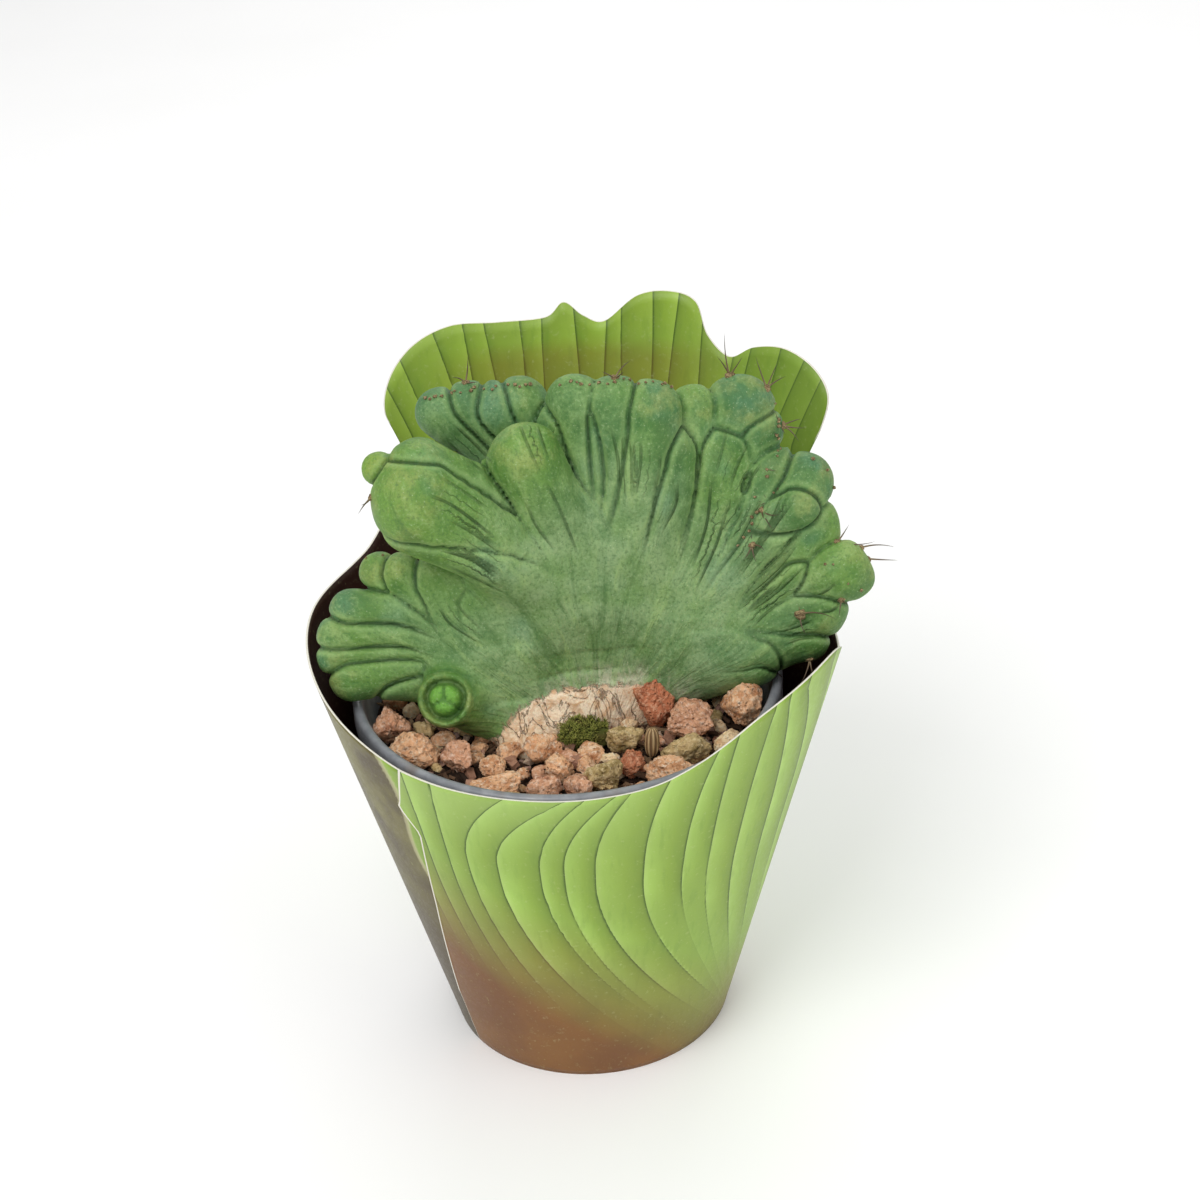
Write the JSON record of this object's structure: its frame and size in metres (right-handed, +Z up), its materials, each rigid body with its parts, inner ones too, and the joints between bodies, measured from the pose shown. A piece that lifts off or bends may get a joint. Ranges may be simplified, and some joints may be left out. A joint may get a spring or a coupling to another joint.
{
  "type": "potted crested bolivian torch cactus",
  "caption": "Crested torch cactus with offsets in a round grow pot topped with pumice, inside a printed card sleeve with a raised die-cut back.",
  "frame": {"origin": "on the floor at the centre of the sleeve's foot, on the pot's flat underside", "axes": "+Z up; the open front of the sleeve faces -Y; +X to the viewer's right from the front"},
  "size_m": [0.1429, 0.1244, 0.1794],
  "materials": {
    "printed_card": "semi-gloss coated card, all-over green fold print outside, brown inside",
    "pot_plastic": "satin moulded grey plastic",
    "potting_mix": "matte, damp fibrous peat",
    "cactus_skin": "waxy green skin with grey bloom and a corky base",
    "moss": "matte olive moss",
    "husk": "dry matte husk",
    "pumice": "rough pitted pumice and lava stone, pale pink to red-brown",
    "spine_wool": "tan wool with stiff grey-brown spines"
  },
  "bodies": {
    "root": {"cactus_crest": "cactus_skin", "card_sleeve": "printed_card", "grow_pot": "pot_plastic", "moss_clump": "moss", "potting_mix": "potting_mix", "pumice_stone_01": "pumice", "pumice_stone_02": "pumice", "pumice_stone_03": "pumice", "pumice_stone_04": "pumice", "pumice_stone_05": "pumice", "pumice_stone_06": "pumice", "pumice_stone_07": "pumice", "pumice_stone_08": "pumice", "pumice_stone_09": "pumice", "pumice_stone_10": "pumice", "pumice_stone_11": "pumice", "pumice_stone_12": "pumice", "pumice_stone_13": "pumice", "pumice_stone_14": "pumice", "pumice_stone_15": "pumice", "pumice_stone_16": "pumice", "pumice_stone_17": "pumice", "pumice_stone_18": "pumice", "pumice_stone_19": "pumice", "pumice_stone_20": "pumice", "pumice_stone_21": "pumice", "pumice_stone_22": "pumice", "pumice_stone_23": "pumice", "pumice_stone_24": "pumice", "pumice_stone_25": "pumice", "seed_husk": "husk", "spine_cluster_01": "spine_wool", "spine_cluster_02": "spine_wool", "spine_cluster_03": "spine_wool", "spine_cluster_04": "spine_wool", "spine_cluster_05": "spine_wool", "spine_cluster_06": "spine_wool", "spine_cluster_07": "spine_wool", "spine_cluster_08": "spine_wool", "spine_cluster_09": "spine_wool", "spine_cluster_10": "spine_wool", "spine_cluster_11": "spine_wool", "spine_cluster_12": "spine_wool", "spine_cluster_13": "spine_wool", "spine_cluster_14": "spine_wool", "spine_cluster_15": "spine_wool"}
  },
  "joints": []
}
